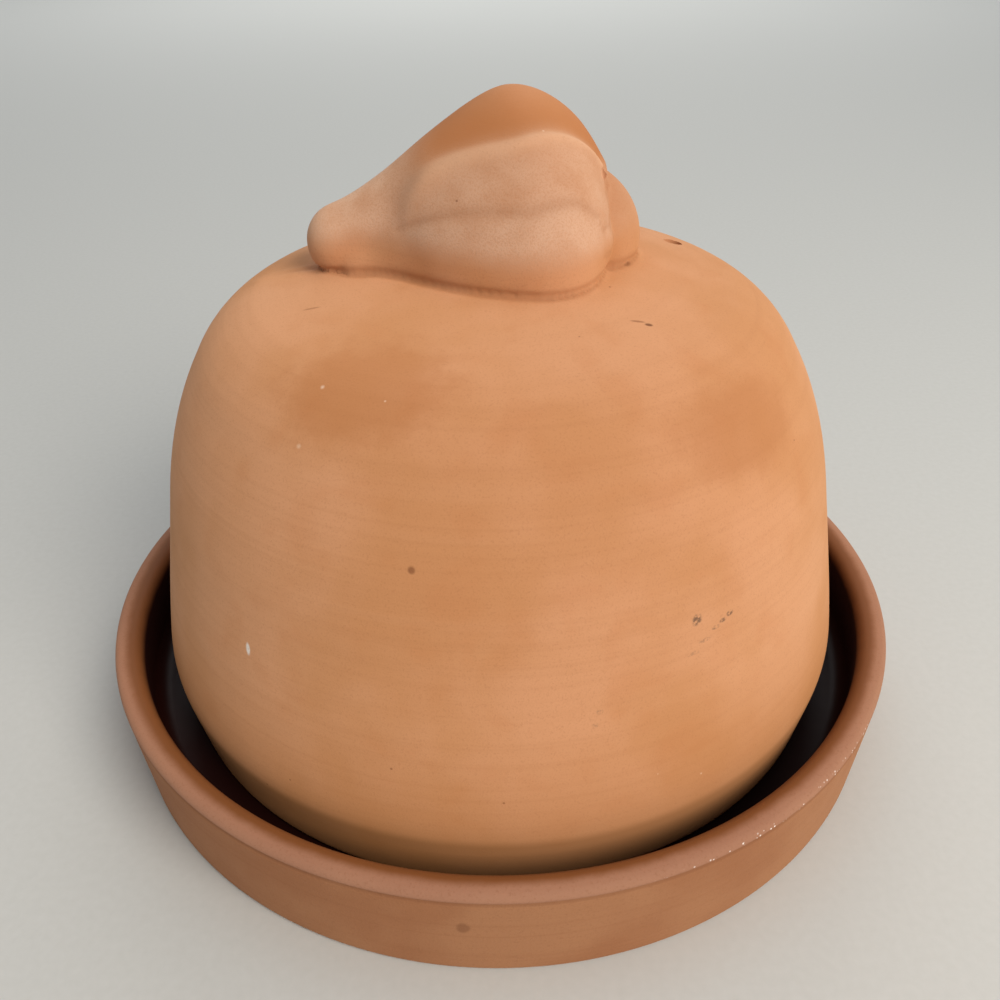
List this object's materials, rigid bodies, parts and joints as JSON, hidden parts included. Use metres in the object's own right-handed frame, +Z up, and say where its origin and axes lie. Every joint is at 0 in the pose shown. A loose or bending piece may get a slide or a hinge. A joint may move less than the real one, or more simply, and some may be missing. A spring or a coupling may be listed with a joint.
{
  "type": "garlic roaster",
  "caption": "Clay garlic roaster: an unglazed domed lid with a garlic-head knob and a steam vent, standing loose in a shallow round dish glazed dark inside.",
  "frame": {"origin": "on the dish's axis, at the flat underside that stands on the table", "axes": "+Z up along the common axis of dish and dome; -X towards the tip of the garlic-head knob, +X towards its root end"},
  "size_m": [0.1498, 0.1498, 0.1122],
  "materials": {
    "lid_clay": "matte unglazed terracotta",
    "dish_clay": "matte terracotta outside, dark glaze inside"
  },
  "bodies": {
    "root": {"lid": "lid_clay", "base_dish": "dish_clay"}
  },
  "joints": []
}
